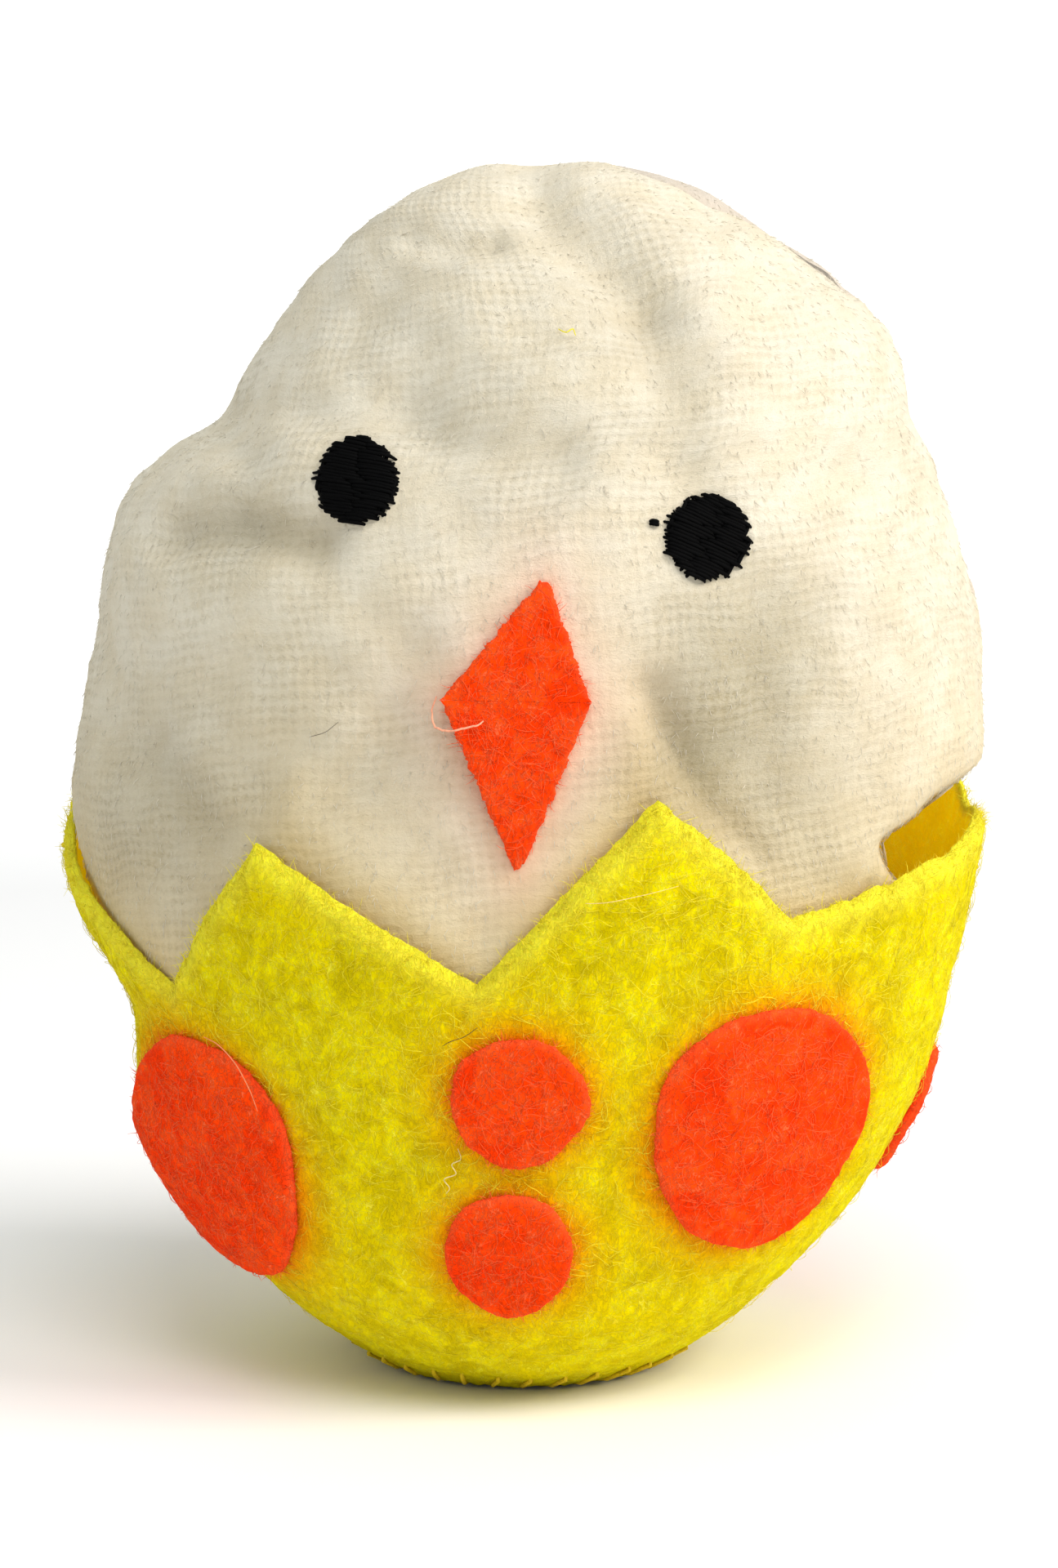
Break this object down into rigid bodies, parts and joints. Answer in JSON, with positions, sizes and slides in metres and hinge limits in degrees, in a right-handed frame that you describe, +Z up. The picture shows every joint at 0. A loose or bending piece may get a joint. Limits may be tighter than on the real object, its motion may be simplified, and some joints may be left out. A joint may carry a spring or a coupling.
{
  "type": "stuffed chick in a felt eggshell",
  "caption": "Palm-size stuffed velour chick with embroidered eyes and a felt beak, sitting in a zigzag-rimmed felt eggshell cup with glued felt dots.",
  "frame": {"origin": "centre of the eggshell's footprint, on the surface it stands on", "axes": "+Z up through the chick's crown, -Y out through its beak, +X to the viewer's right when facing it"},
  "size_m": [0.0856, 0.073, 0.1095],
  "materials": {
    "cream_velour": "matte",
    "polyester_wadding": "matte",
    "pale_thread": "matte",
    "black_embroidery": "satin",
    "orange_felt": "matte",
    "yellow_felt": "matte",
    "yellow_thread": "matte"
  },
  "bodies": {
    "eggshell": {"shell_front_panel": "yellow_felt", "shell_back_panel": "yellow_felt", "shell_base_disc": "yellow_felt", "shell_side_thread_left": "yellow_thread", "shell_side_thread_right": "yellow_thread", "shell_base_thread": "yellow_thread", "dot_front_large_left": "orange_felt", "dot_front_large_right": "orange_felt", "dot_front_small_upper": "orange_felt", "dot_front_small_lower": "orange_felt", "dot_side_small_right": "orange_felt", "dot_side_small_left": "orange_felt", "dot_back_large": "orange_felt", "dot_back_small_upper": "orange_felt", "dot_back_small_lower": "orange_felt"},
    "chick": {"chick_front_panel": "cream_velour", "chick_back_panel": "cream_velour", "chick_stuffing": "polyester_wadding", "chick_seam_thread": "pale_thread", "chick_closing_thread": "pale_thread", "eye_left": "black_embroidery", "eye_right": "black_embroidery", "beak_stitch_thread": "pale_thread"},
    "beak_top": {"beak_upper": "orange_felt"},
    "beak_bottom": {"beak_lower": "orange_felt"}
  },
  "joints": [
    {"name": "chick_lift", "type": "slide", "parent": "eggshell", "child": "chick", "axis": [0, 0, 1], "range_m": [0, 0.055]},
    {"name": "beak_upper_flap", "type": "hinge", "parent": "chick", "child": "beak_top", "pos_m": [-0.00045, -0.0352, 0.0632], "axis": [0.9994, -0.029, -0.0168], "range_deg": [0, 60], "stiffness_Nm_per_rad": 0.0001},
    {"name": "beak_lower_flap", "type": "hinge", "parent": "chick", "child": "beak_bottom", "pos_m": [-0.00045, -0.0352, 0.0632], "axis": [-0.9994, 0.029, 0.0168], "range_deg": [0, 60], "stiffness_Nm_per_rad": 0.0001}
  ]
}
